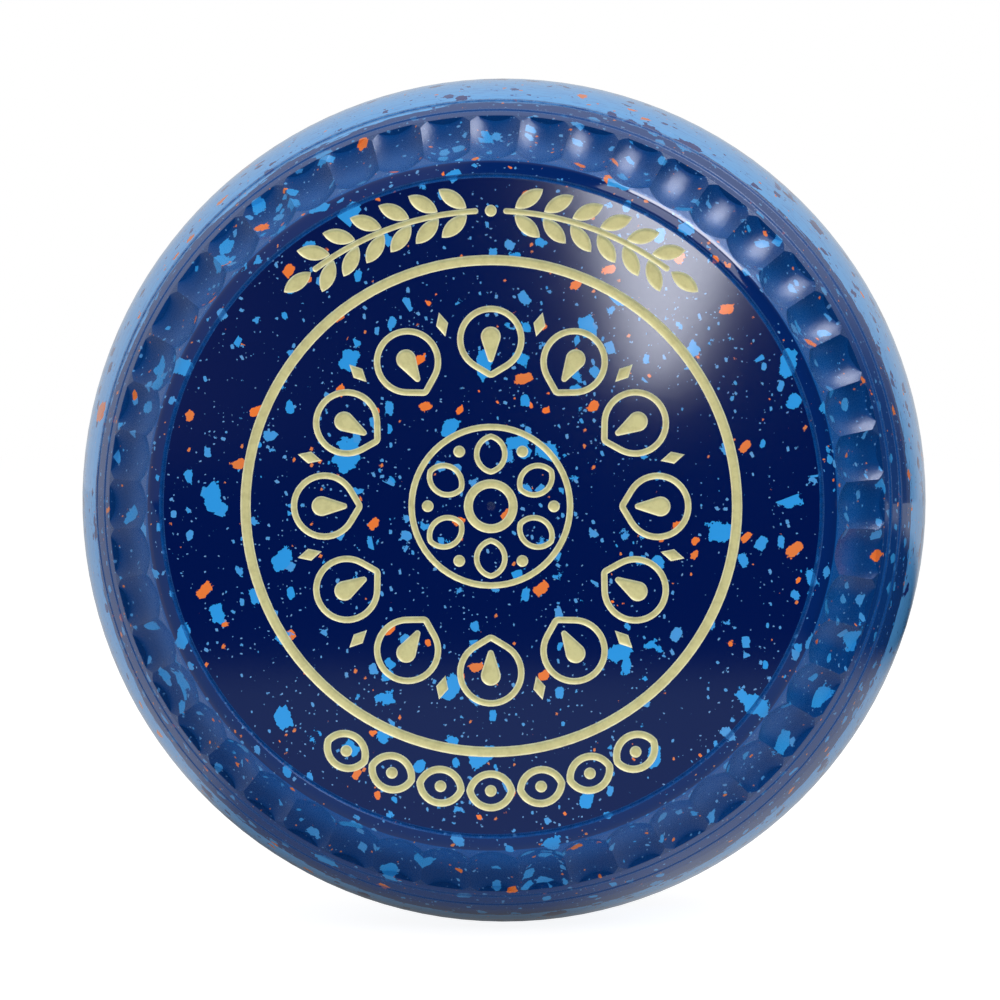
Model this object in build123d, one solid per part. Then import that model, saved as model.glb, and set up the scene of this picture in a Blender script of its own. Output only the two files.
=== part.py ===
"""A lawn bowl: a weighted moulded ball with two flattened sides, each with a grip ring and gilded engraving.

Millimetres. The bowl stands on its running surface with its axis of revolution along Y.
The side with the large emblem faces -Y, the side with the small emblem (the bias side) faces +Y.
The origin is on the axis, halfway between the two flat side faces. +Z is the top of both engravings.
"""

import math
import os

from build123d import *

# Driving dimensions of the body
BOWL_RADIUS = 61.0          # half the running diameter
BOWL_WIDTH = 88.6           # between the two flat side faces
CROWN_OFFSET = 0.6          # how far the largest diameter lies from the middle, away from the bias side
CROWN_BAND_HALF_WIDTH = 20.1  # half the axial width of the light-coloured running band
CORE_RADIUS = 45.0
CORE_HALF_WIDTH = 30.0
CORE_CORNER = 13.0

# Side face, from its centre outwards
DISC_RADIUS = 44.7          # polished flat face
DISC_GROOVE_WIDTH = 0.65    # fine vee that frames the flat face
DISC_GROOVE_DEPTH = 0.35
LAND_STEP = 0.12            # how much lower the land starts than the flat face
LAND_CURVE = 4.0
LAND_DROP = 1.9             # from the flat face down to the outer edge of the land
LAND_RADIUS = 47.4
SHOULDER_RADIUS = 55.0      # where the cone that carries the scoops meets the crown
SHOULDER_SLOPE = 0.48       # radius gained for each millimetre towards the crown
PIP_RADIUS = 0.65           # turning mark at the centre of each face
PIP_DEPTH = 0.3

# Grip scoops
SCOOP_COUNT = 48
SCOOP_DEPTH = 2.3           # below the shoulder cone
SCOOP_CROSS_RADIUS = 5.8
SCOOP_INNER_REACH = 8.8     # from the deepest point to the rounded inner end
SCOOP_OUTER_REACH = 7.1     # from the deepest point to the straight outer wall
SCOOP_WALL_RADIUS = 54.1    # where the outer wall meets the shoulder cone

# Fine turned grooves beside the grip
TURNED_GROOVE_RADII = (55.0, 56.5)
TURNED_GROOVE_HALF_WIDTH = 0.3
TURNED_GROOVE_DEPTH = 0.28

# Engraving
CHANNEL_DEPTH = 0.5
PAINT_THICKNESS = 0.35
FINE_STROKE = 0.87

# The large emblem, at its full size
RING_RADIUS = 33.5
RING_STROKE = 1.4
PETAL_COUNT = 12
PETAL_HEAD_AT = 22.7
PETAL_HEAD_RADIUS = 4.6
PETAL_FOOT_AT = 18.5
PETAL_FOOT_RADIUS = 1.0
BUD_HEAD_AT = 23.1          # the solid drop inside each petal
BUD_HEAD_RADIUS = 1.35
BUD_FOOT_AT = 20.0
BUD_FOOT_RADIUS = 0.4
DART_AT = 25.6              # the lozenge between two petals
DART_SIZE = (1.7, 3.4)      # width and height
CIRCLE_RADIUS = 10.8
ROSETTE_COUNT = 6
ROSETTE_REACH = (4.3, 9.9)  # from the axis
ROSETTE_HALF_WIDTH = 2.3
ROSETTE_STROKE = 0.75
ROSETTE_BEAD_AT = 8.6
HUB_RADIUS = 3.06
HUB_STROKE = 1.22
SMALL_EMBLEM_SCALE = 0.62

# The leaf spray above the emblem and the chain below it
SPRAY_RADIUS = 40.2
SPRAY_START = 3.0           # degrees from the top
SPRAY_END = 36.5
SPRAY_STEM = 0.8
LEAF_GAP = 0.75             # from the middle of the stem to the foot of a leaf
LEAF_PAIRS = 6              # on each half of the spray
LEAF_LENGTH = 4.6
LEAF_HALF_WIDTH = 1.05
LEAF_LEAN = 38.0            # between a leaf and the stem
LEAF_FIRST = 0.15           # where the first pair grows, in steps from the start of the stem
CHAIN_RADIUS = 38.8
CHAIN_LINKS = 7
CHAIN_LINK_LENGTH = 6.7
CHAIN_LINK_HALF_WIDTH = 2.8
CHAIN_STROKE = 1.0
CHAIN_GAP = 0.2             # between the tips of two links
BEAD_RADIUS = 0.8


def crown_arc_radius(face):
    """Radius of the crown arc that is level at the largest diameter and ends at the shoulder."""
    reach = shoulder_position(face)
    drop = BOWL_RADIUS - SHOULDER_RADIUS
    return (reach**2 + drop**2) / (2 * drop)


def shoulder_position(face):
    """Axial distance from the largest diameter to the shoulder, for a flat face that far out."""
    cone_length = (SHOULDER_RADIUS - LAND_RADIUS) / SHOULDER_SLOPE
    return face - LAND_DROP - cone_length


def crown_point(face, radius):
    """Point of the crown arc at that radius, on the side of the face."""
    arc = crown_arc_radius(face)
    return (radius, -math.sqrt(arc**2 - (radius - BOWL_RADIUS + arc) ** 2))


def half_outline(face):
    """The outline of one half of the bowl, from the axis at the flat face to the largest diameter."""
    groove_foot = (DISC_RADIUS + DISC_GROOVE_WIDTH / 2, DISC_GROOVE_DEPTH - face)
    groove_lip = (DISC_RADIUS + DISC_GROOVE_WIDTH, LAND_STEP - face)
    land_edge = (LAND_RADIUS, LAND_DROP - face)
    shoulder = (SHOULDER_RADIUS, -shoulder_position(face))
    middle = crown_point(face, (BOWL_RADIUS + SHOULDER_RADIUS) / 2)
    return [
        Polyline((0, -face), (DISC_RADIUS, -face), groove_foot, groove_lip),
        RadiusArc(groove_lip, land_edge, -LAND_CURVE),
        Line(land_edge, shoulder),
        ThreePointArc(shoulder, middle, (BOWL_RADIUS, 0)),
    ]


def half_bowl(face):
    """One half of the bowl with its flat face towards -Y and its largest diameter in the plane y = 0."""
    outline = half_outline(face) + [Polyline((BOWL_RADIUS, 0), (0, 0), (0, -face))]
    return revolve(make_face(Wire(Curve() + outline)), Axis.Y)


def core():
    """The inner moulding, a drum with rounded corners, centred on the largest diameter."""
    section = RectangleRounded(2 * CORE_RADIUS, 2 * CORE_HALF_WIDTH, CORE_CORNER)
    right_half = Pos(CORE_RADIUS / 2, 0) * Rectangle(CORE_RADIUS, 2 * CORE_HALF_WIDTH)
    return revolve(section & right_half, Axis.Y)


def crown_slab():
    """The space between the two joint planes that bound the running band."""
    width = 2 * CROWN_BAND_HALF_WIDTH
    return Rot(90, 0, 0) * Cylinder(2 * BOWL_RADIUS, width)


def scoop_cutters(face):
    """A ring of half-barrel cutters, each with a straight outer end, sunk into the shoulder cone."""
    slant = math.atan(SHOULDER_SLOPE)
    long_radius = (SCOOP_INNER_REACH**2 + SCOOP_DEPTH**2) / (2 * SCOOP_DEPTH)
    tip = math.sqrt(long_radius**2 - (long_radius - SCOOP_CROSS_RADIUS) ** 2)
    wall_drop = SCOOP_CROSS_RADIUS - long_radius + math.sqrt(long_radius**2 - SCOOP_OUTER_REACH**2)
    wall_x = -SCOOP_OUTER_REACH
    middle_x = (tip + wall_x) / 2
    middle_y = SCOOP_CROSS_RADIUS - long_radius + math.sqrt(long_radius**2 - middle_x**2)
    outline = [
        Line((tip, 0), (wall_x, 0)),
        Line((wall_x, 0), (wall_x, wall_drop)),
        ThreePointArc((wall_x, wall_drop), (middle_x, middle_y), (tip, 0)),
    ]
    half_barrel = Rot(90, 0, 0) * revolve(make_face(Wire(Curve() + outline)), Axis.X, 180)
    wall_y = -face + LAND_DROP + (SCOOP_WALL_RADIUS - LAND_RADIUS) / SHOULDER_SLOPE
    along = Vector(-math.sin(slant), -math.cos(slant), 0)
    outward = Vector(math.cos(slant), -math.sin(slant), 0)
    wall_top = Vector(SCOOP_WALL_RADIUS, wall_y, 0)
    height = SCOOP_CROSS_RADIUS - SCOOP_DEPTH
    seat = wall_top + along * SCOOP_OUTER_REACH + outward * height
    placed = Plane(origin=seat, x_dir=along, z_dir=(0, 0, 1)) * half_barrel
    pitch = 360 / SCOOP_COUNT
    return [Rot(0, pitch * i, 0) * placed for i in range(SCOOP_COUNT)]


def crown_band(plain_face, bias_face):
    """The running band, a ring round the core between the two joint planes."""
    whole = half_bowl(plain_face) + Rot(0, 0, 180) * half_bowl(bias_face)
    return (whole & crown_slab()) - core()


def turned_groove(face, radius):
    """A ring with a triangular section that cuts one fine vee into the crown."""
    arc = crown_arc_radius(face)
    x, y = crown_point(face, radius)
    tilt = math.atan2(-y, radius - BOWL_RADIUS + arc)
    outward = Vector(math.cos(tilt), -math.sin(tilt))
    along = Vector(math.sin(tilt), math.cos(tilt))
    base = Vector(x, y)
    rise = outward * TURNED_GROOVE_DEPTH
    side = along * 2 * TURNED_GROOVE_HALF_WIDTH
    foot = base - rise
    left = base + rise - side
    right = base + rise + side
    return revolve(make_face(Polyline(foot, left, right, close=True)), Axis.Y)


def ring(radius, stroke):
    """A flat ring about the centre."""
    return Circle(radius + stroke / 2) - Circle(radius - stroke / 2)


def lens(low, high, half_width):
    """A leaf shape between two heights on the vertical axis."""
    middle = (low + high) / 2
    right = ThreePointArc((0, low), (half_width, middle), (0, high))
    left = ThreePointArc((0, high), (-half_width, middle), (0, low))
    return make_face(Wire(Curve() + [right, left]))


def lens_outline(low, high, half_width, stroke):
    """A leaf shape with an even border."""
    length = high - low
    arc = (length**2 / 4 + half_width**2) / (2 * half_width)
    inset = length / 2 - math.sqrt((arc - stroke) ** 2 - (arc - half_width) ** 2)
    return lens(low, high, half_width) - lens(low + inset, high - inset, half_width - stroke)


def lozenge(width, height):
    """A diamond centred on the origin."""
    return make_face(
        Polyline((width / 2, 0), (0, height / 2), (-width / 2, 0), (0, -height / 2), close=True)
    )


def teardrop(head_at, head_radius, foot_at, foot_radius):
    """Two circles on the vertical axis joined by their outer tangents."""
    lean = math.asin((head_radius - foot_radius) / (head_at - foot_at))
    side = (math.cos(lean), -math.sin(lean))
    head = (side[0] * head_radius, head_at + side[1] * head_radius)
    foot = (side[0] * foot_radius, foot_at + side[1] * foot_radius)
    top = (0, head_at + head_radius)
    bottom = (0, foot_at - foot_radius)
    outline = [
        Line(foot, head),
        ThreePointArc(head, top, (-head[0], head[1])),
        Line((-head[0], head[1]), (-foot[0], foot[1])),
        ThreePointArc((-foot[0], foot[1]), bottom, foot),
    ]
    return make_face(Wire(Curve() + outline))


def wedge(start, end):
    """A triangle from the centre that holds everything between two angles from the top, clockwise."""
    reach = 2 * BOWL_RADIUS
    corners = [(reach * math.sin(math.radians(a)), reach * math.cos(math.radians(a))) for a in (start, end)]
    return make_face(Polyline((0, 0), *corners, close=True))


def around(shapes, count):
    """Copies of the shapes, evenly round the centre."""
    return [Rot(0, 0, 360 / count * i) * s for i in range(count) for s in shapes]


def inset(drop, stroke):
    """The sizes of the teardrop that lies an even stroke inside another one."""
    head_at, head_radius, foot_at, foot_radius = drop
    return head_at, head_radius - stroke, foot_at, foot_radius - stroke


def petal_band(scale):
    """A ring of teardrop outlines with a solid drop in each and a lozenge between neighbours."""
    petal = [size * scale for size in (PETAL_HEAD_AT, PETAL_HEAD_RADIUS, PETAL_FOOT_AT, PETAL_FOOT_RADIUS)]
    bud = [size * scale for size in (BUD_HEAD_AT, BUD_HEAD_RADIUS, BUD_FOOT_AT, BUD_FOOT_RADIUS)]
    width, height = (size * scale for size in DART_SIZE)
    outline = teardrop(*petal) - teardrop(*inset(petal, FINE_STROKE * scale))
    dart = Rot(0, 0, 180 / PETAL_COUNT) * Pos(0, DART_AT * scale) * lozenge(width, height)
    return around([outline, teardrop(*bud), dart], PETAL_COUNT)


def rosette(scale):
    """Leaf outlines round the hub, with a bead between neighbours."""
    low, high = (reach * scale for reach in ROSETTE_REACH)
    petal = lens_outline(low, high, ROSETTE_HALF_WIDTH * scale, ROSETTE_STROKE * scale)
    bead = Rot(0, 0, 180 / ROSETTE_COUNT) * Pos(0, ROSETTE_BEAD_AT * scale) * Circle(BEAD_RADIUS * scale)
    return around([petal, bead], ROSETTE_COUNT)


def leaf(angle, lean):
    """One leaf beside the stem at that angle from the top, turned by lean from the radius."""
    blade = lens(LEAF_GAP, LEAF_GAP + LEAF_LENGTH, LEAF_HALF_WIDTH)
    return Rot(0, 0, -angle) * Pos(0, SPRAY_RADIUS) * Rot(0, 0, -lean) * blade


def stem(start, end):
    """A curved bar with round ends between two angles from the top."""
    bar = ring(SPRAY_RADIUS, SPRAY_STEM) & wedge(start, end)
    ends = [Rot(0, 0, -angle) * Pos(0, SPRAY_RADIUS) * Circle(SPRAY_STEM / 2) for angle in (start, end)]
    return bar + ends[0] + ends[1]


def upper_spray():
    """Two stems with pairs of leaves that point away from the middle, and a bead between the stems."""
    shapes = [Pos(0, SPRAY_RADIUS) * Circle(BEAD_RADIUS)]
    step = (SPRAY_END - SPRAY_START) / LEAF_PAIRS
    for hand in (1, -1):
        shapes.append(stem(hand * SPRAY_START, hand * SPRAY_END))
        for i in range(LEAF_PAIRS):
            angle = hand * (SPRAY_START + step * (i + LEAF_FIRST))
            shapes.append(leaf(angle, hand * (90 - LEAF_LEAN)))
            shapes.append(leaf(angle, hand * (90 + LEAF_LEAN)))
        shapes.append(leaf(hand * SPRAY_END, hand * 90))
    return shapes


def lower_chain():
    """A row of leaf-shaped links along an arc below the emblem, with a bead in each."""
    pitch = math.degrees((CHAIN_LINK_LENGTH + CHAIN_GAP) / CHAIN_RADIUS)
    half = CHAIN_LINK_LENGTH / 2
    link = Rot(0, 0, 90) * lens_outline(-half, half, CHAIN_LINK_HALF_WIDTH, CHAIN_STROKE)
    angles = [pitch * (i - (CHAIN_LINKS - 1) / 2) for i in range(CHAIN_LINKS)]
    places = [Rot(0, 0, angle) * Pos(0, -CHAIN_RADIUS) for angle in angles]
    return [place * shape for place in places for shape in (link, Circle(BEAD_RADIUS))]


def figures(scale):
    """Every engraved figure of one side, by name. Each is a list of flat shapes."""
    return {
        "outer_ring": [ring(RING_RADIUS * scale, RING_STROKE * math.sqrt(scale))],
        "petal_band": petal_band(scale),
        "centre_circle": [ring(CIRCLE_RADIUS * scale, FINE_STROKE * scale)],
        "rosette": rosette(scale),
        "hub_ring": [ring(HUB_RADIUS * scale, HUB_STROKE * scale)],
        "upper_spray": upper_spray(),
        "lower_chain": lower_chain(),
    }


def prisms(shapes, face, low, high):
    """The shapes laid on the flat face and filled between two depths below it."""
    plane = Plane.XZ.offset(face - low)
    return [extrude(plane * s, low - high, dir=plane.z_dir) for s in shapes]


def pip(face):
    """The small cone of the turning mark."""
    outline = Polyline((0, PIP_DEPTH - face), (PIP_RADIUS, -face), (0, -face), close=True)
    return revolve(make_face(outline), Axis.Y)


def side_moulding(face, engraving):
    """A dark side of the bowl, with grip scoops, turned grooves and the channels of its engraving."""
    body = half_bowl(face) - crown_slab() - core()
    body -= scoop_cutters(face)
    body -= [turned_groove(face, radius) for radius in TURNED_GROOVE_RADII]
    body -= pip(face)
    for shapes in engraving.values():
        body -= prisms(shapes, face, CHANNEL_DEPTH, 0)
    return body


def paint(shapes, face):
    """The gilding of one engraved figure, which lies in the bottom of its channel."""
    return prisms(shapes, face, CHANNEL_DEPTH, CHANNEL_DEPTH - PAINT_THICKNESS)


def write(name, shapes, place):
    """Writes the solids of the shapes, put in place, as one node."""
    solids = [place * solid for shape in shapes for solid in shape.solids()]
    export_step(solids[0] if len(solids) == 1 else Compound(children=solids), f"parts/{name}.step")


def main():
    os.makedirs("parts", exist_ok=True)
    plain_face = BOWL_WIDTH / 2 - CROWN_OFFSET
    bias_face = BOWL_WIDTH / 2 + CROWN_OFFSET
    front = Pos(0, -CROWN_OFFSET, 0)
    back = Pos(0, -CROWN_OFFSET, 0) * Rot(0, 0, 180)

    write("core", [core()], front)
    write("crown_band", [crown_band(plain_face, bias_face)], front)
    for side, face, place, scale in (
        ("large", plain_face, front, 1.0),
        ("small", bias_face, back, SMALL_EMBLEM_SCALE),
    ):
        engraving = figures(scale)
        write(f"side_moulding_{side}", [side_moulding(face, engraving)], place)
        for name, shapes in engraving.items():
            write(f"{name}_{side}", paint(shapes, face), place)


main()
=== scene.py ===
"""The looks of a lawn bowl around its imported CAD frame: speckled resin, gold enamel, light and camera.

Blender works in metres. The materials measure the bowl in millimetres, with the axis of the bowl along Y,
the large emblem towards -Y, the small emblem towards +Y and the top of both emblems at +Z.
"""

import math

import bmesh
import bpy
import numpy as np
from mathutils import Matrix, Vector
from mathutils.geometry import delaunay_2d_cdt
from mathutils.kdtree import KDTree


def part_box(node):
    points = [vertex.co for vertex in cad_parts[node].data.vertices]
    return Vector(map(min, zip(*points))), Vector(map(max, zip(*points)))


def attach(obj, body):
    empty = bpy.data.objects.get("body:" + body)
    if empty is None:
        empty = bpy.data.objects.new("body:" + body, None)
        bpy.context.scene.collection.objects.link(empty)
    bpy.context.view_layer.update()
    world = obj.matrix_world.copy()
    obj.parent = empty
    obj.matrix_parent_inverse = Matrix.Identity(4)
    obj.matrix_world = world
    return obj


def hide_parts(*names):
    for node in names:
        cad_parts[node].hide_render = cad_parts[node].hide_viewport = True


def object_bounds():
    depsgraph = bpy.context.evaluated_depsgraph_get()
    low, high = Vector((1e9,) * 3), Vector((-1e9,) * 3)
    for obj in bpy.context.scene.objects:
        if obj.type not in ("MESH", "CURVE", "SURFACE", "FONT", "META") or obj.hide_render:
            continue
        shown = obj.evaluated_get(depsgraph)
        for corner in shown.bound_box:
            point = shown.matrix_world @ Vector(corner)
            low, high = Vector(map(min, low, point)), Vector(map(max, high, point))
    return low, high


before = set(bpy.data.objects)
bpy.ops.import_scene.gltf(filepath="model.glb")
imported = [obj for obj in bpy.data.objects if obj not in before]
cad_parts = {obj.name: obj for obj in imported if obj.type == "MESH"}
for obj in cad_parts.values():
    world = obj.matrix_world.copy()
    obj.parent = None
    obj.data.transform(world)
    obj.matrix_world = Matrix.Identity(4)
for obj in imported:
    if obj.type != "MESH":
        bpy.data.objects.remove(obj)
CAD_BOX = [list(corner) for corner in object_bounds()]

MM = 0.001
GOLD_FIGURES = (
    "outer_ring",
    "petal_band",
    "centre_circle",
    "rosette",
    "hub_ring",
    "upper_spray",
    "lower_chain",
)

# The bowl's profile in millimetres, as the materials need it. Depths are from the flat face.
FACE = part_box("side_moulding_large")[0].y / -MM
DISC_EDGE = 44.7
LAND_INNER = 45.35
LAND_OUTER = 47.1
SCOOP_OUTER = 54.2
TURNED_GROOVES = (55.0, 56.5)
TURNED_HALF_WIDTH = 0.3
CROWN_MIDDLE = -0.6
CROWN_HALF_WIDTH = 20.1
BORDER_LEAN = (-0.034, 0.0, 0.059)  # the edge of the sky-blue resin isn't square to the axis
BORDER_WAVES = 5.0                  # and it is drawn out in streaks, over about this width


# ---------------------------------------------------------------- node helper


class Graph:
    """Adds shader nodes to one node tree and joins them."""

    def __init__(self, tree):
        self.tree = tree
        tree.nodes.clear()

    def put(self, socket, value):
        if isinstance(value, bpy.types.NodeSocket):
            self.tree.links.new(value, socket)
        else:
            socket.default_value = value

    def node(self, kind, inputs=None, **settings):
        node = self.tree.nodes.new("ShaderNode" + kind)
        for name, value in settings.items():
            setattr(node, name, value)
        for name, value in (inputs or {}).items():
            self.put(node.inputs[name], value)
        return node

    def math(self, operation, *values):
        return self.node("Math", dict(enumerate(values)), operation=operation).outputs[0]

    def vector(self, operation, *values):
        return self.node("VectorMath", dict(enumerate(values)), operation=operation).outputs[0]

    def scale(self, vector, factor):
        return self.node("VectorMath", {0: vector, "Scale": factor}, operation="SCALE").outputs[0]

    def split(self, vector):
        return self.node("SeparateXYZ", {0: vector}).outputs

    def step(self, value, low, high, start=0.0, end=1.0):
        """A smooth change from start to end while the value goes from low to high."""
        inputs = {"Value": value, "From Min": low, "From Max": high, "To Min": start, "To Max": end}
        return self.node("MapRange", inputs, interpolation_type="SMOOTHSTEP").outputs[0]

    def noise(self, place, scale, detail=2.0, roughness=0.5):
        inputs = {"Vector": place, "Scale": scale, "Detail": detail, "Roughness": roughness}
        return self.node("TexNoise", inputs)

    def cells(self, place, scale):
        return self.node("TexVoronoi", {"Vector": place, "Scale": scale}, voronoi_dimensions="3D")

    def mix(self, factor, first, second):
        inputs = {"Factor": factor, 6: first, 7: second}
        return self.node("Mix", inputs, data_type="RGBA").outputs[2]

    def blend(self, factor, first, second):
        return self.node("Mix", {"Factor": factor, 2: first, 3: second}, data_type="FLOAT").outputs[0]

    def millimetres(self):
        """The place on the object in millimetres."""
        return self.scale(self.node("TexCoord").outputs["Object"], 1 / MM)

    def finish(self, shader, surface="Material"):
        out = self.node("Output" + surface)
        self.tree.links.new(shader, out.inputs["Surface"])


def rgb(red, green, blue):
    """A screen colour from 0 to 255 as Blender's linear colour."""
    def linear(value):
        share = value / 255
        return share / 12.92 if share <= 0.04045 else ((share + 0.055) / 1.055) ** 2.4

    return (linear(red), linear(green), linear(blue), 1.0)


def material(name):
    made = bpy.data.materials.new(name)
    made.use_nodes = True
    return made, Graph(made.node_tree)


# ---------------------------------------------------------------- resin


RESIN_IOR = 1.53
CHIP_STRETCH = (0.78, 1.0, 1.35)
CHIP_BOXINESS = 0.55        # 0 for round chips, 1 for bricks
CHIP_RAGGEDNESS = 1.3
CHIP_RARITY = 1.4           # the higher, the rarer are chips near the largest size


def chips(g, place, pitch, largest, share, seed):
    """Angular chips scattered in the resin, at most one in each cell of that pitch.

    Returns how far inside a chip the point lies in millimetres, and three random numbers for each chip.
    """
    moved = g.vector("ADD", place, (seed * 17.3, seed * 5.1, seed * 9.7))
    cell = g.cells(moved, 1 / pitch)
    chance = g.split(cell.outputs["Color"])
    from_centre = g.vector("SUBTRACT", moved, cell.outputs["Position"])
    turn = g.scale(cell.outputs["Color"], 2 * math.pi)
    turned = g.node("VectorRotate", {"Vector": from_centre, "Rotation": turn}, rotation_type="EULER_XYZ")
    along = g.vector("MULTIPLY", turned.outputs[0], CHIP_STRETCH)
    sides = g.split(g.vector("ABSOLUTE", along))
    boxy = g.math("MAXIMUM", g.math("MAXIMUM", sides[0], sides[1]), sides[2])
    round_reach = g.node("VectorMath", {0: along}, operation="LENGTH").outputs["Value"]
    reach = g.math("MULTIPLY_ADD", boxy, CHIP_BOXINESS, g.math("MULTIPLY", round_reach, 1 - CHIP_BOXINESS))
    rough = g.math("SUBTRACT", g.noise(moved, 1.5 / largest, 3.0, 0.65).outputs["Fac"], 0.5)
    ragged = g.math("MULTIPLY", reach, g.math("MULTIPLY_ADD", rough, CHIP_RAGGEDNESS, 1.0))
    left = g.math("SUBTRACT", 1.0, g.math("DIVIDE", chance[0], share))
    radius = g.math("MULTIPLY", g.math("POWER", g.math("MAXIMUM", left, 0.0), CHIP_RARITY), largest)
    return g.math("SUBTRACT", radius, ragged), chance


# pitch of the cells, largest radius, share of the cells with a chip, share of the chips that are orange
CHIP_LAYERS = (
    (4.6, 1.8, 0.60, 0.06),
    (2.3, 1.00, 0.62, 0.15),
    (1.2, 0.33, 0.65, 0.20),
    (0.62, 0.16, 0.60, 0.18),
)

NAVY = rgb(1, 17, 68)
NAVY_RIM = rgb(3, 33, 90)       # the narrow land around the flat disc
NAVY_TURNED = rgb(6, 56, 120)   # the turned strips outside the scoops
NAVY_SCOOP = rgb(9, 82, 152)    # at the inner end of a scoop
# painted shade for the deep outer end of a scoop
NAVY_SCOOP_PAINTED_SHADE = rgb(5, 58, 116)
GROOVE = rgb(3, 68, 132)
SKY = rgb(86, 163, 226)
SKY_STREAK = rgb(58, 118, 190)
CHIPS_IN_NAVY = (rgb(42, 138, 204), rgb(104, 140, 182))
CHIPS_IN_SKY = (rgb(14, 34, 112), rgb(44, 96, 168))
ORANGE_CHIPS = (rgb(224, 112, 46), rgb(176, 116, 78))

DRAWN_OUT = (0.45, 2.4, 0.45)   # squeezes a pattern along the axis, which leaves streaks around the bowl
POLISHED_GRAIN = 0.0000006      # height of the fine grain, in metres
SATIN_GRAIN = 0.00002


def speckled(g, place, navy_share, sky, navy):
    """Resin of one of the two colours, with blue and orange chips of every size."""
    crowding = g.noise(place, 0.13, 2.0).outputs["Fac"]
    crowding = g.step(crowding, 0.35, 0.62, 0.45, 1.15)
    colour = g.mix(navy_share, sky, navy)
    bright = g.mix(navy_share, CHIPS_IN_SKY[0], CHIPS_IN_NAVY[0])
    dull = g.mix(navy_share, CHIPS_IN_SKY[1], CHIPS_IN_NAVY[1])
    for i, (pitch, largest, share, orange_share) in enumerate(reversed(CHIP_LAYERS)):
        inside, chance = chips(g, place, pitch, largest, g.math("MULTIPLY", crowding, share), i)
        dullness = 0.6 - 0.3 * i
        vary = g.math("MULTIPLY_ADD", chance[2], 0.35, dullness)
        blue = g.mix(vary, bright, dull)
        orange = g.mix(vary, *ORANGE_CHIPS)
        tint = g.mix(g.math("LESS_THAN", chance[1], orange_share), blue, orange)
        colour = g.mix(g.step(inside, -0.01, 0.04), colour, tint)
    return colour


def resin(name):
    """The moulded resin of the whole bowl: sky blue in the running band and navy on both sides."""
    made, g = material(name)
    place = g.millimetres()
    x, y, z = g.split(place)
    radius = g.math("SQRT", g.math("ADD", g.math("MULTIPLY", x, x), g.math("MULTIPLY", z, z)))
    depth = g.math("SUBTRACT", FACE, g.math("ABSOLUTE", y))

    drawn_out = g.vector("MULTIPLY", place, DRAWN_OUT)
    marbling = g.noise(drawn_out, 0.28, 4.0, 0.65).outputs["Fac"]
    from_middle = g.math("ABSOLUTE", g.math("SUBTRACT", y, CROWN_MIDDLE))
    lean = g.node("VectorMath", {0: place, 1: BORDER_LEAN}, operation="DOT_PRODUCT").outputs["Value"]
    waves = g.math("SUBTRACT", marbling, 0.5)
    border = g.math("MULTIPLY_ADD", waves, BORDER_WAVES, g.math("SUBTRACT", from_middle, lean))
    navy_share = g.step(border, CROWN_HALF_WIDTH - 0.12, CROWN_HALF_WIDTH + 0.12)

    outside = g.step(radius, SCOOP_OUTER - 0.1, SCOOP_OUTER + 0.1)
    beyond_land = g.step(radius, LAND_OUTER - 0.1, LAND_OUTER + 0.1)
    scoop = g.math("MULTIPLY", beyond_land, g.math("SUBTRACT", 1.0, outside))
    disc_groove = band_mask(g, radius, (DISC_EDGE + LAND_INNER) / 2, (LAND_INNER - DISC_EDGE) / 2)
    turned = [band_mask(g, radius, at, TURNED_HALF_WIDTH) for at in TURNED_GROOVES]
    cut = g.math("MAXIMUM", disc_groove, g.math("MAXIMUM", *turned))
    on_disc = g.step(radius, DISC_EDGE - 0.4, DISC_EDGE - 0.3, 1.0, 0.0)
    channel = g.math("MULTIPLY", g.step(depth, 0.02, 0.05), on_disc)
    satin = g.math("MAXIMUM", g.math("MAXIMUM", scoop, cut), channel)

    haze = g.noise(place, 1.4, 5.0, 0.7).outputs["Fac"]
    navy = g.mix(g.step(radius, LAND_INNER - 0.1, LAND_INNER + 0.1), NAVY, NAVY_RIM)
    # Painted shade: each scoop darkens from its inner end towards its deep outer end.
    scoop_with_painted_shade = g.mix(g.step(radius, 48.5, 52.0), NAVY_SCOOP, NAVY_SCOOP_PAINTED_SHADE)
    navy = g.mix(g.math("MULTIPLY", scoop, g.step(haze, 0.2, 0.8, 0.75, 1.0)), navy, scoop_with_painted_shade)
    navy = g.mix(outside, navy, NAVY_TURNED)
    streaks = g.noise(drawn_out, 0.9, 4.0, 0.7).outputs["Fac"]
    sky = g.mix(g.step(streaks, 0.50, 0.66, 0.0, 0.55), SKY, SKY_STREAK)
    colour = speckled(g, place, navy_share, sky, navy)
    colour = g.mix(g.math("MULTIPLY", cut, g.step(haze, 0.3, 0.7, 0.5, 0.95)), colour, GROOVE)

    grain = g.noise(place, 9.0, 3.0, 0.6).outputs["Fac"]
    polished = g.step(grain, 0.3, 0.7, 0.050, 0.065)
    roughness = g.blend(satin, polished, g.step(grain, 0.3, 0.7, 0.22, 0.34))
    height = g.blend(satin, POLISHED_GRAIN, SATIN_GRAIN)
    bump = g.node("Bump", {"Height": grain, "Distance": height, "Strength": 1.0})
    inputs = {
        "Base Color": colour,
        "Roughness": roughness,
        "Normal": bump.outputs[0],
        "IOR": RESIN_IOR,
        "Specular IOR Level": g.blend(scoop, 0.5, 0.25),
    }
    g.finish(g.node("BsdfPrincipled", inputs).outputs[0])
    return made


def band_mask(g, value, centre, half_width):
    """One within that distance of the centre, nothing outside."""
    off = g.math("ABSOLUTE", g.math("SUBTRACT", value, centre))
    return g.step(off, half_width - 0.05, half_width + 0.05, 1.0, 0.0)


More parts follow.
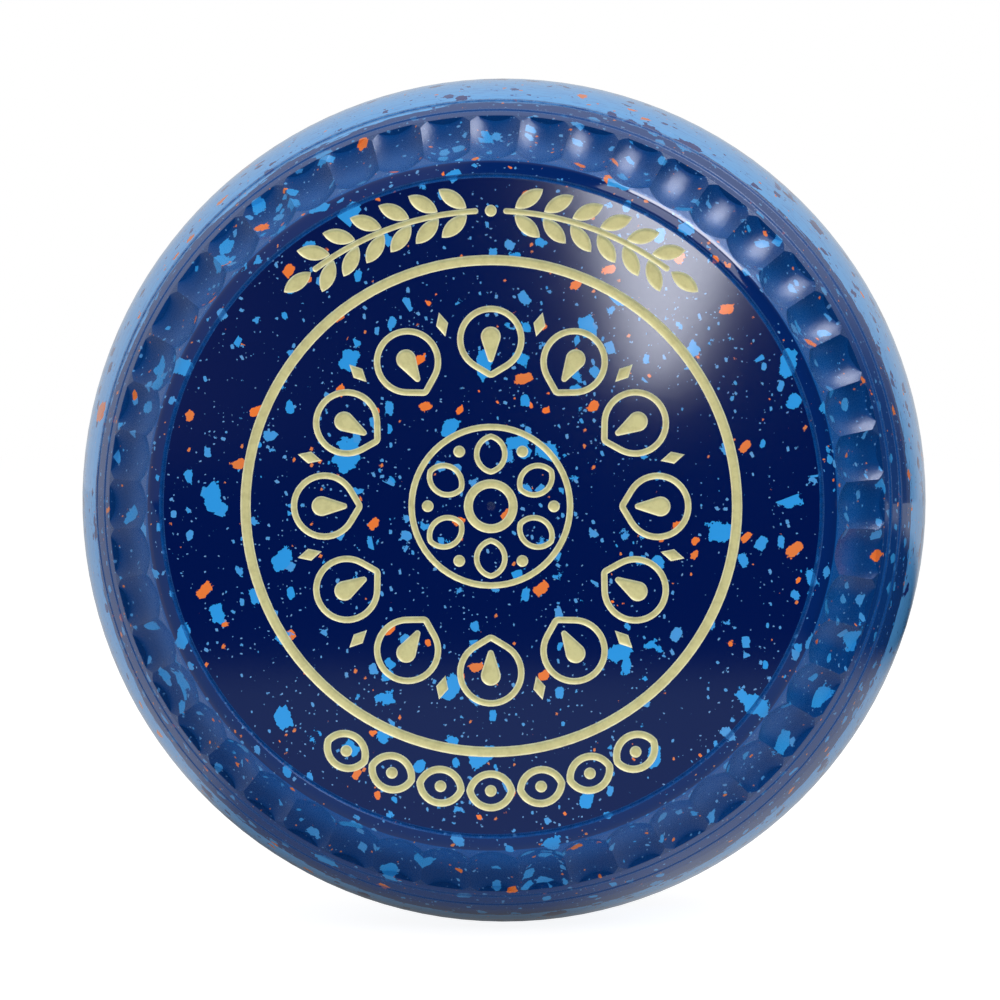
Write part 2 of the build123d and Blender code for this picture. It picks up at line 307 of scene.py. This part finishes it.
def core_compound():
    """Dark filled moulding compound with pale filler grains."""
    made, g = material("core_resin")
    place = g.millimetres()
    cloud = g.noise(place, 0.4, 5.0, 0.6).outputs["Fac"]
    ground = g.mix(g.step(cloud, 0.3, 0.7), rgb(48, 44, 44), rgb(74, 68, 64))
    inside, chance = chips(g, place, 1.6, 0.6, 0.7, 3)
    filler = g.mix(chance[2], rgb(96, 92, 88), rgb(140, 132, 122))
    colour = g.mix(g.step(inside, -0.02, 0.04), ground, filler)
    bump = g.node("Bump", {"Height": cloud, "Distance": 0.0002, "Strength": 0.6})
    roughness = g.step(cloud, 0.2, 0.8, 0.5, 0.75)
    inputs = {"Base Color": colour, "Roughness": roughness, "Normal": bump.outputs[0]}
    g.finish(g.node("BsdfPrincipled", inputs).outputs[0])
    return made


# ---------------------------------------------------------------- gold enamel

# Depths of the enamel below the flat face, in millimetres.
LIP_DEPTH = 0.05
BOTTOM_DEPTH = 0.34
UNDERSIDE_DEPTH = 0.48
CUP_WIDTH = 0.42            # how far from the rim the enamel has sunk to its full depth
MESH_STEP = 0.17

# The rim colour is a painted highlight along the edges of the enamel channels.
GOLD_RIM_PAINTED_HIGHLIGHT = rgb(240, 237, 198)
GOLD_BOTTOM = rgb(203, 195, 138)
GOLD_DULL = rgb(168, 158, 108)


def gold_enamel():
    """Satin gold enamel, with a painted highlight at the rims that fades to a darker colour in the bottom of
    the channel.
    """
    made, g = material("gold_paint")
    place = g.millimetres()
    depth = g.math("SUBTRACT", FACE, g.math("ABSOLUTE", g.split(place)[1]))
    # Painted highlight: the enamel is paler where it is shallow near the rims and darker where it has sunk.
    sunk = g.step(depth, LIP_DEPTH, BOTTOM_DEPTH)
    colour = g.mix(sunk, GOLD_RIM_PAINTED_HIGHLIGHT, GOLD_BOTTOM)
    cloud = g.noise(place, 0.9, 4.0, 0.65).outputs["Fac"]
    colour = g.mix(g.step(cloud, 0.40, 0.70, 0.0, 0.40), colour, GOLD_DULL)
    grain = g.noise(place, 7.0, 3.0, 0.6).outputs["Fac"]
    bump = g.node("Bump", {"Height": grain, "Distance": 0.00003, "Strength": 1.0})
    inputs = {
        "Base Color": colour,
        "Metallic": 0.25,
        "Roughness": g.step(grain, 0.2, 0.8, 0.32, 0.48),
        "Normal": bump.outputs[0],
    }
    g.finish(g.node("BsdfPrincipled", inputs).outputs[0])
    return made


def outline_loops(node):
    """The edge of the upper face of a flat CAD figure, as closed rows of (x, z) points."""
    level = max(abs(v.co.y) for v in node.data.vertices)

    def on_top(point):
        return abs(abs(point.y) - level) < 1e-6

    def key(point):
        return (round(point.x, 6), round(point.z, 6))

    uses = {}
    for polygon in node.data.polygons:
        corners = [node.data.vertices[i].co for i in polygon.vertices]
        if all(on_top(c) for c in corners):
            ring = [key(c) for c in corners]
            for a, b in zip(ring, ring[1:] + ring[:1]):
                edge = (min(a, b), max(a, b))
                uses[edge] = uses.get(edge, 0) + 1
    beside = {}
    for (a, b), count in uses.items():
        if count == 1:
            beside.setdefault(a, []).append(b)
            beside.setdefault(b, []).append(a)
    loops = []
    left = set(beside)
    while left:
        loop = [min(left)]
        while loop[-1] in left:
            left.discard(loop[-1])
            loop.extend([n for n in beside[loop[-1]] if n in left][:1])
        loops.append(np.array(loop))
    return loops


def divided(loop, step):
    """The loop with every side cut into equal pieces no longer than the step."""
    cut = []
    for a, b in zip(loop, np.roll(loop, -1, axis=0)):
        pieces = max(1, math.ceil(np.linalg.norm(b - a) / step))
        cut.extend(a + (b - a) * i / pieces for i in range(pieces))
    return np.array(cut)


def inside(points, loops):
    """Which of the points lie inside an odd number of the loops."""
    odd = np.zeros(len(points), bool)
    for loop in loops:
        for a, b in zip(loop, np.roll(loop, -1, axis=0)):
            if a[1] != b[1]:
                level = (a[1] > points[:, 1]) != (b[1] > points[:, 1])
                across = a[0] + (points[:, 1] - a[1]) * (b[0] - a[0]) / (b[1] - a[1])
                odd ^= level & (points[:, 0] < across)
    return odd


def separate_shapes(loops):
    """The loops sorted into shapes: an outer loop, with the loop that lies in it if it is a ring."""
    shapes = []
    for loop in sorted(loops, key=lambda l: np.ptp(l[:, 0]), reverse=True):
        home = [s for s in shapes if len(s) == 1 and inside(loop[:1], s)[0]]
        if home:
            home[-1].append(loop)
        else:
            shapes.append([loop])
    return shapes


def cup_depth(from_rim):
    """How deep the enamel lies at that distance from the rim, both in metres."""
    share = min(from_rim / MM / CUP_WIDTH, 1.0)
    return (LIP_DEPTH + (BOTTOM_DEPTH - LIP_DEPTH) * math.sin(share * math.pi / 2)) * MM


def add_enamel(bm, shape, side):
    """Adds one engraved shape, filled with a dished layer of enamel."""
    step = MESH_STEP * MM
    rims = [divided(loop, step) for loop in shape]
    rim = np.concatenate(rims)
    tree = KDTree(len(rim))
    for i, (x, z) in enumerate(rim):
        tree.insert((x, z, 0), i)
    tree.balance()
    xs, zs = np.meshgrid(np.arange(*span(rim[:, 0], step)), np.arange(*span(rim[:, 1], step)))
    xs[::2] += step / 2
    grid = np.stack([xs.ravel(), zs.ravel()], axis=1)
    grid = [p for p in grid[inside(grid, rims)] if tree.find((*p, 0))[2] > 0.6 * step]
    edges = []
    for loop in rims:
        first = len(edges)
        edges.extend((first + i, first + (i + 1) % len(loop)) for i in range(len(loop)))
    points, _, triangles, *_ = delaunay_2d_cdt([Vector(p) for p in [*rim, *grid]], edges, [], 0, 1e-7)
    middles = np.array([np.mean([points[i] for i in t], axis=0) for t in triangles])
    face = side * FACE * MM
    verts = [bm.verts.new((p.x, face - side * cup_depth(tree.find((*p, 0))[2]), p.y)) for p in points]
    in_channel = inside(middles, rims)
    faces = [bm.faces.new([verts[i] for i in t]) for t, kept in zip(triangles, in_channel) if kept]
    made = bmesh.ops.extrude_face_region(bm, geom=faces)
    for vert in made["geom"]:
        if isinstance(vert, bmesh.types.BMVert):
            vert.co.y = face - side * UNDERSIDE_DEPTH * MM


def span(values, step):
    """From below the lowest value to above the highest one, in steps."""
    return values.min() - step, values.max() + step, step


def enamel(node):
    """A dished layer of gold enamel in the channels of one engraved figure."""
    side = 1 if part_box(node)[0].y > 0 else -1
    bm = bmesh.new()
    for shape in separate_shapes(outline_loops(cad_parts[node])):
        add_enamel(bm, shape, side)
    loose = [v for v in bm.verts if not v.link_faces]
    bmesh.ops.delete(bm, geom=loose, context="VERTS")
    bmesh.ops.recalc_face_normals(bm, faces=bm.faces)
    mesh = bpy.data.meshes.new(node + "_enamel")
    bm.to_mesh(mesh)
    bm.free()
    mesh.shade_smooth()
    mesh.set_sharp_from_angle(angle=math.radians(50))
    mesh.materials.append(GOLD)
    piece = bpy.data.objects.new(node + "_enamel", mesh)
    bpy.context.scene.collection.objects.link(piece)
    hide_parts(node)
    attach(piece, "root")


# ---------------------------------------------------------------- stage, light and camera

CAMERA_DISTANCE = 0.70
CAMERA_AZIMUTH = 2.4
CAMERA_ELEVATION = 1.1
CAMERA_LENS = 173.4
AIM = Vector((-0.0006, 0.0, 0.0))

FLOOR_REACH = 6.0
LIGHT_DISTANCE = 1.3
LAMP_SIZE = 0.9
LAMP_COLOUR = (1.0, 0.98, 0.98)
PANEL_COLOUR = (0.87, 0.90, 1.0, 1)


def camera():
    azimuth, elevation = math.radians(CAMERA_AZIMUTH), math.radians(CAMERA_ELEVATION)
    direction = Vector((
        math.sin(azimuth) * math.cos(elevation),
        -math.cos(azimuth) * math.cos(elevation),
        math.sin(elevation),
    ))
    data = bpy.data.cameras.new("camera")
    data.lens = CAMERA_LENS
    data.sensor_width = 36
    data.clip_start = 0.05
    data.clip_end = 50
    made = bpy.data.objects.new("camera", data)
    made.location = AIM + direction * CAMERA_DISTANCE
    made.rotation_euler = (-direction).to_track_quat("-Z", "Y").to_euler()
    bpy.context.scene.collection.objects.link(made)
    bpy.context.scene.camera = made


def lamp(name, place, target, size, power):
    """An oblong lamp that faces the target. Neither the camera nor reflections see it."""
    data = bpy.data.lights.new(name, "AREA")
    data.shape = "RECTANGLE"
    data.size, data.size_y = size
    data.energy = power
    data.color = LAMP_COLOUR
    made = bpy.data.objects.new(name, data)
    made.location = place
    made.rotation_euler = (Vector(target) - Vector(place)).to_track_quat("-Z", "Y").to_euler()
    made.visible_camera = False
    made.visible_glossy = False
    bpy.context.scene.collection.objects.link(made)


def floor():
    """A plain pale floor, white to the camera.

    Reflections see a dimmer floor, which glows rather than being lit. It is bluish in front of the bowl and
    black far out in front; it has painted shade on the right, as in a studio with a screen on the right, and
    a painted shadow of the bowl in a strip behind it.
    """
    height = CAD_BOX[0][2]
    mesh = bpy.data.meshes.new("floor")
    signs = ((-1, -1), (1, -1), (1, 1), (-1, 1))
    corners = [(x * FLOOR_REACH, y * FLOOR_REACH, height) for x, y in signs]
    mesh.from_pydata(corners, [], [(0, 1, 2, 3)])
    piece = bpy.data.objects.new("floor", mesh)
    bpy.context.scene.collection.objects.link(piece)
    made, g = material("floor")
    place = g.node("TexCoord").outputs["Object"]
    x, y, _ = g.split(place)
    cloud = g.noise(place, 3.0, 3.0).outputs["Fac"]
    pale = g.step(cloud, 0.3, 0.7, 0.52, 0.57)
    # Painted shadow: a dark strip behind the bowl in what reflections see.
    from_shadow = g.math("ABSOLUTE", g.math("ADD", x, 0.022))
    behind = g.step(from_shadow, 0.025, 0.055, 0.14, 0.50)
    # Painted shade on the right of the floor and far out in front.
    to_the_right = g.math("MAXIMUM", g.step(x, 0.10, 0.15, 1.0, 0.03), g.step(y, 0.4, 0.9))
    far_in_front = g.step(y, -0.80, -0.70)
    is_behind = g.step(y, -0.045, -0.025)
    dimming = g.math("MULTIPLY", to_the_right, far_in_front)
    level = g.math("MULTIPLY", g.blend(is_behind, pale, behind), dimming)
    tint = g.mix(is_behind, (0.58, 0.80, 1.0, 1), (0.94, 0.97, 1.0, 1))
    reflected = g.node("Emission", {"Color": tint, "Strength": level}).outputs[0]
    white = g.node("Emission", {"Color": (1, 1, 1, 1), "Strength": 0.90}).outputs[0]
    shade = g.node("BsdfDiffuse", {"Color": (0.35, 0.35, 0.35, 1)}).outputs[0]
    seen = g.node("AddShader", {0: white, 1: shade}).outputs[0]
    is_camera = g.node("LightPath").outputs["Is Camera Ray"]
    g.finish(g.node("MixShader", {0: is_camera, 1: reflected, 2: seen}).outputs[0])
    mesh.materials.append(made)


def panel(name, corners, strength):
    """A flat glowing panel that only reflections see."""
    mesh = bpy.data.meshes.new(name)
    mesh.from_pydata(corners, [], [tuple(range(len(corners)))])
    piece = bpy.data.objects.new(name, mesh)
    bpy.context.scene.collection.objects.link(piece)
    made, g = material(name)
    g.finish(g.node("Emission", {"Color": PANEL_COLOUR, "Strength": strength}).outputs[0])
    mesh.materials.append(made)
    piece.visible_camera = False
    piece.visible_diffuse = False
    piece.visible_shadow = False


def surroundings():
    """White to the camera. To reflections, a dim studio with a pale backdrop behind the bowl."""
    world = bpy.data.worlds.new("studio")
    bpy.context.scene.world = world
    world.use_nodes = True
    g = Graph(world.node_tree)
    x, y, z = g.split(g.node("TexCoord").outputs["Generated"])
    front = g.step(x, -0.20, -0.05, 0.36, 0.01)
    to_the_right = g.math("MULTIPLY_ADD", z, -0.5, x)
    behind = g.step(to_the_right, 0.32, 0.64, 0.62, 0.05)
    level = g.blend(g.step(y, 0.0, 0.5), front, behind)
    studio = g.node("Background", {"Color": (0.93, 0.96, 1.0, 1), "Strength": level}).outputs[0]
    white = g.node("Background", {"Color": (1, 1, 1, 1), "Strength": 1.0}).outputs[0]
    is_camera = g.node("LightPath").outputs["Is Camera Ray"]
    g.finish(g.node("MixShader", {0: is_camera, 1: studio, 2: white}).outputs[0], "World")


def around_bowl(polar, clock):
    """A place for a light, at that angle off the axis in front and that angle clockwise from the top."""
    polar, clock = math.radians(polar), math.radians(clock)
    out = math.sin(polar)
    return Vector((out * math.sin(clock), -math.cos(polar), out * math.cos(clock))) * LIGHT_DISTANCE


# name, angle off the axis, angle clockwise from the top, power
SOFT_LAMPS = (
    ("key", 42, 34, 17.5),
    ("left_fill", 60, -60, 5.0),
    ("right_fill", 75, 110, 5.5),
)

# name, strength, corners as those two angles
SIDE_PANELS = (
    ("softbox", 3.3, ((55, 16), (84, 18), (84, 44), (55, 48))),
    ("rear_softbox", 12.0, ((90, 22), (118, 22), (118, 46), (90, 46))),
)

# The panel that the flat face reflects, as x and z, 1.5 m in front of the bowl.
HIGHLIGHT_AWAY = -1.5
HIGHLIGHT = ((0.000, 0.025), (0.016, 0.026), (0.031, 0.056), (0.120, 0.280), (-0.020, 0.280), (-0.024, 0.120))
HIGHLIGHT_STRENGTH = 13.5


def lights():
    """Soft lamps that reflections don't see, and glowing panels that only reflections see."""
    for name, polar, clock, power in SOFT_LAMPS:
        lamp(name, around_bowl(polar, clock), (0, 0, 0), (LAMP_SIZE, LAMP_SIZE), power)
    in_front = Vector((0.0, -0.12, CAD_BOX[0][2] + 0.0005))
    lamp("bounce", in_front, in_front + Vector((0, 0, 1)), (0.40, 0.20), 0.12)
    for name, strength, corners in SIDE_PANELS:
        panel(name, [around_bowl(polar, clock) for polar, clock in corners], strength)
    panel("highlight", [(x, HIGHLIGHT_AWAY, z) for x, z in HIGHLIGHT], HIGHLIGHT_STRENGTH)


# ---------------------------------------------------------------- put together

CROWN = resin("crown_resin")
SIDE = resin("side_resin")
CORE = core_compound()
GOLD = gold_enamel()

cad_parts["crown_band"].data.materials[0] = CROWN
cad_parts["core"].data.materials[0] = CORE
for end in ("large", "small"):
    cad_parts[f"side_moulding_{end}"].data.materials[0] = SIDE
    for figure in GOLD_FIGURES:
        enamel(f"{figure}_{end}")

camera()
floor()
surroundings()
lights()
bpy.context.scene.view_settings.view_transform = "Standard"
